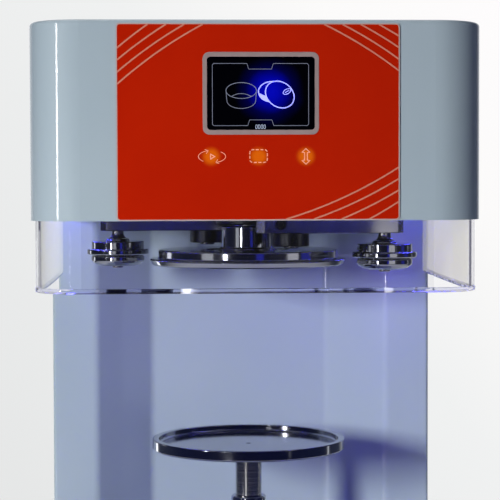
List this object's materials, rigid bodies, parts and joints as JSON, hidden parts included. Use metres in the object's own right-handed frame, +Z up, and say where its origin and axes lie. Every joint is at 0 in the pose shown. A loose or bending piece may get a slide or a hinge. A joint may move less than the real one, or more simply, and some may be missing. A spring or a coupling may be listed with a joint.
{
  "type": "bowl sealing machine",
  "caption": "Upright desktop machine that seals a lid on a bowl: a lift dish raises it to a turning chuck and swinging seaming rollers behind a clear guard.",
  "frame": {"origin": "on the floor under the middle of the machine's bounding box, feet bottom at Z = 0", "axes": "+X to the right as seen from the front, +Y from the control panel to the back cover, +Z up along the spindle"},
  "size_m": [0.333, 0.416, 0.53],
  "materials": {
    "shell_paint": "pale grey-blue gloss paint",
    "panel_film": "red-orange gloss overlay",
    "bezel_grey": "pale grey",
    "screen_glass": "black glass",
    "key_orange": "orange light guide",
    "board_green": "board",
    "clear_acrylic": "clear",
    "led_white": "lamp strip",
    "polished_steel": "mirror polish",
    "machined_steel": "machined",
    "dark_steel": "blackened",
    "zinc_steel": "zinc plated",
    "motor_black": "satin black",
    "bronze": "bearing bronze",
    "black_plastic": "moulded",
    "belt_rubber": "belt",
    "foot_rubber": "moulded rubber",
    "supply_metal": "plain"
  },
  "bodies": {
    "root": {"rubber_feet": "foot_rubber", "base_plate": "zinc_steel", "base_cover": "shell_paint", "power_inlet": "black_plastic", "switch_frame": "black_plastic", "column_cover": "shell_paint", "back_cover": "shell_paint", "back_cover_screws": "zinc_steel", "frame_uprights": "zinc_steel", "power_supply": "supply_metal", "head_cover": "shell_paint", "head_cover_screws": "zinc_steel", "control_panel": "panel_film", "display_bezel": "bezel_grey", "display_window": "screen_glass", "display_module": "black_plastic", "key_lamps": "key_orange", "control_board": "board_green", "board_standoffs": "zinc_steel", "mechanism_plate": "machined_steel", "plate_screws": "dark_steel", "guard": "clear_acrylic", "guard_screws": "zinc_steel", "led_strip": "led_white", "spindle_housing": "dark_steel", "spindle_bearings": "machined_steel", "spindle_motor": "motor_black", "drive_belt": "belt_rubber", "lift_guide": "polished_steel", "guide_screws": "dark_steel", "guide_key": "dark_steel", "lift_motor": "motor_black", "arm_motors": "motor_black", "left_pivot_bush": "bronze", "right_pivot_bush": "bronze"},
    "spindle": {"spindle_shaft": "machined_steel", "chuck_hub": "polished_steel", "chuck": "polished_steel", "chuck_screws": "dark_steel", "spindle_pulley": "machined_steel"},
    "motor_rotor": {"motor_shaft": "machined_steel", "motor_pulley": "machined_steel"},
    "right_seaming_arm": {"right_arm": "machined_steel", "right_pivot_shaft": "machined_steel", "right_pivot_collar": "dark_steel", "right_clamp_screw": "dark_steel", "right_roller_pin": "machined_steel"},
    "left_seaming_arm": {"left_arm": "machined_steel", "left_pivot_shaft": "machined_steel", "left_pivot_collar": "dark_steel", "left_clamp_screw": "dark_steel", "left_roller_pin": "machined_steel"},
    "right_seaming_roller": {"right_roller": "polished_steel"},
    "left_seaming_roller": {"left_roller": "polished_steel"},
    "lift": {"lift_rod": "polished_steel", "lift_nut": "bronze"},
    "lift_dish": {"dish": "polished_steel", "dish_bearing": "machined_steel"},
    "lift_drive_screw": {"lift_screw": "machined_steel"},
    "rocker": {"power_rocker": "black_plastic"}
  },
  "joints": [
    {"name": "spindle_spin", "type": "hinge", "parent": "root", "child": "spindle", "pos_m": [0, -0.0445, 0.355], "axis": [0, 0, 1], "continuous": true},
    {"name": "motor_spin", "type": "hinge", "parent": "root", "child": "motor_rotor", "pos_m": [0, 0.062, 0.476], "axis": [0, 0, 1], "continuous": true},
    {"name": "right_arm_swing", "type": "hinge", "parent": "root", "child": "right_seaming_arm", "pos_m": [0.0317, -0.092, 0.379], "axis": [0, 0, 1], "range_deg": [0, 17.5]},
    {"name": "left_arm_swing", "type": "hinge", "parent": "root", "child": "left_seaming_arm", "pos_m": [-0.0317, 0.003, 0.379], "axis": [0, 0, 1], "range_deg": [0, 17.5]},
    {"name": "right_roller_spin", "type": "hinge", "parent": "right_seaming_arm", "child": "right_seaming_roller", "pos_m": [0.1064, -0.085, 0.355], "axis": [0, 0, 1], "continuous": true},
    {"name": "left_roller_spin", "type": "hinge", "parent": "left_seaming_arm", "child": "left_seaming_roller", "pos_m": [-0.1064, -0.004, 0.355], "axis": [0, 0, 1], "continuous": true},
    {"name": "lift_slide", "type": "slide", "parent": "root", "child": "lift", "axis": [0, 0, 1], "range_m": [0, 0.06]},
    {"name": "dish_spin", "type": "hinge", "parent": "lift", "child": "lift_dish", "pos_m": [0, -0.0445, 0.2], "axis": [0, 0, 1], "continuous": true},
    {"name": "lift_screw_spin", "type": "hinge", "parent": "root", "child": "lift_drive_screw", "pos_m": [0, -0.0445, 0.09], "axis": [0, 0, 1], "continuous": true},
    {"name": "power_rocker_tilt", "type": "hinge", "parent": "root", "child": "rocker", "pos_m": [-0.07, 0.203, 0.062], "axis": [-1, 0, 0], "range_deg": [0, 13.5]}
  ],
  "couplings": [
    {"joint": "motor_spin", "follows": "spindle_spin", "ratio": 2},
    {"joint": "lift_screw_spin", "follows": "lift_slide", "rad_per_m": 785.4}
  ]
}
